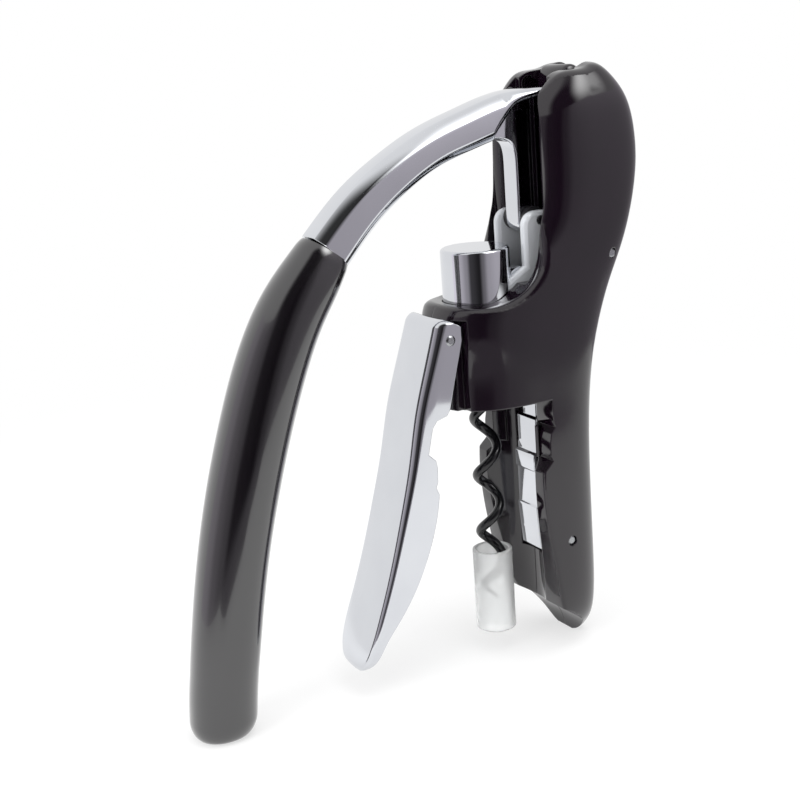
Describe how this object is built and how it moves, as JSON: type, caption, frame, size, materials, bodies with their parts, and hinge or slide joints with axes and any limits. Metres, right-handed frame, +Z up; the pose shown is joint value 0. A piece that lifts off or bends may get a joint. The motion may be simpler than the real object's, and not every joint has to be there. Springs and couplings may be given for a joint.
{
  "type": "hand-held lever corkscrew",
  "caption": "Hand-held lever corkscrew: a swing-over lever drives a caged worm down through a bottle-neck clamp and draws it up again.",
  "frame": {"origin": "centre of the plane that the bottle's mouth meets, on the worm's axis", "axes": "+Z up along the worm's axis away from the bottle, -X towards the clamp handle and the lever's grip, +X to the bulged back, Y along the hinge pins"},
  "size_m": [0.1489, 0.0364, 0.1708],
  "materials": {
    "body_plastic": "high gloss black",
    "grip_plastic": "high gloss black",
    "chrome": "polished chrome plate",
    "pin_steel": "plain steel",
    "seat_plastic": "bearing plastic",
    "nut_brass": "machined brass",
    "pad_rubber": "soft rubber",
    "worm_coating": "non-stick coated steel",
    "sleeve_plastic": "milky translucent plastic"
  },
  "bodies": {
    "body": {"body_half_near": "body_plastic", "body_half_far": "body_plastic", "upper_tie_pin": "pin_steel", "lower_tie_pin": "pin_steel", "clamp_hinge_pin": "pin_steel", "mouth_seat": "seat_plastic", "worm_nut": "nut_brass", "nut_screw_front": "pin_steel", "nut_screw_back": "pin_steel", "neck_pad_near": "pad_rubber", "neck_pad_far": "pad_rubber", "latch_spring": "pin_steel"},
    "crosshead": {"carriage": "chrome", "clevis_pin": "pin_steel", "runner_near": "seat_plastic", "runner_far": "seat_plastic", "hub_ring": "pin_steel"},
    "screw": {"worm": "worm_coating", "worm_hub": "pin_steel", "hub_washer": "seat_plastic"},
    "lever": {"lever_arm": "chrome", "lever_grip": "grip_plastic", "grip_pin": "pin_steel", "heel_cap": "body_plastic", "heel_pin": "pin_steel", "track_pin": "pin_steel", "track_roller_near": "seat_plastic", "track_roller_far": "seat_plastic", "head_washer_near": "seat_plastic", "head_washer_far": "seat_plastic"},
    "clamp": {"clamp_handle": "chrome", "clamp_pad": "pad_rubber"},
    "latch": {"latch_bar": "chrome"},
    "sleeve": {"tip_sleeve": "sleeve_plastic"}
  },
  "joints": [
    {"name": "carriage_slide", "type": "slide", "parent": "body", "child": "crosshead", "axis": [0, 0, 1], "range_m": [0, 0.0601]},
    {"name": "lever_hinge", "type": "hinge", "parent": "crosshead", "child": "lever", "pos_m": [0.0173, 0, 0.0505], "axis": [0, 1, 0], "range_deg": [0, 135]},
    {"name": "worm_spin", "type": "hinge", "parent": "crosshead", "child": "screw", "pos_m": [0, 0, 0.02], "axis": [0, 0, 1], "range_deg": [0, 1242]},
    {"name": "clamp_hinge", "type": "hinge", "parent": "body", "child": "clamp", "pos_m": [-0.0157, 0, 0.0215], "axis": [0, -1, 0], "range_deg": [0, 9]},
    {"name": "latch_hinge", "type": "hinge", "parent": "body", "child": "latch", "pos_m": [0.0169, 0, -0.043], "axis": [0, 1, 0], "range_deg": [0, 4], "stiffness_Nm_per_rad": 0.05, "deforming": ["latch_spring"]},
    {"name": "sleeve_slide", "type": "slide", "parent": "body", "child": "sleeve", "axis": [0, 0, -1], "range_m": [0, 0.028]}
  ],
  "couplings": [
    {"joint": "carriage_slide", "follows": "lever_hinge", "m_per_rad": 0.025465},
    {"joint": "worm_spin", "follows": "lever_hinge", "ratio": 9.1954}
  ]
}
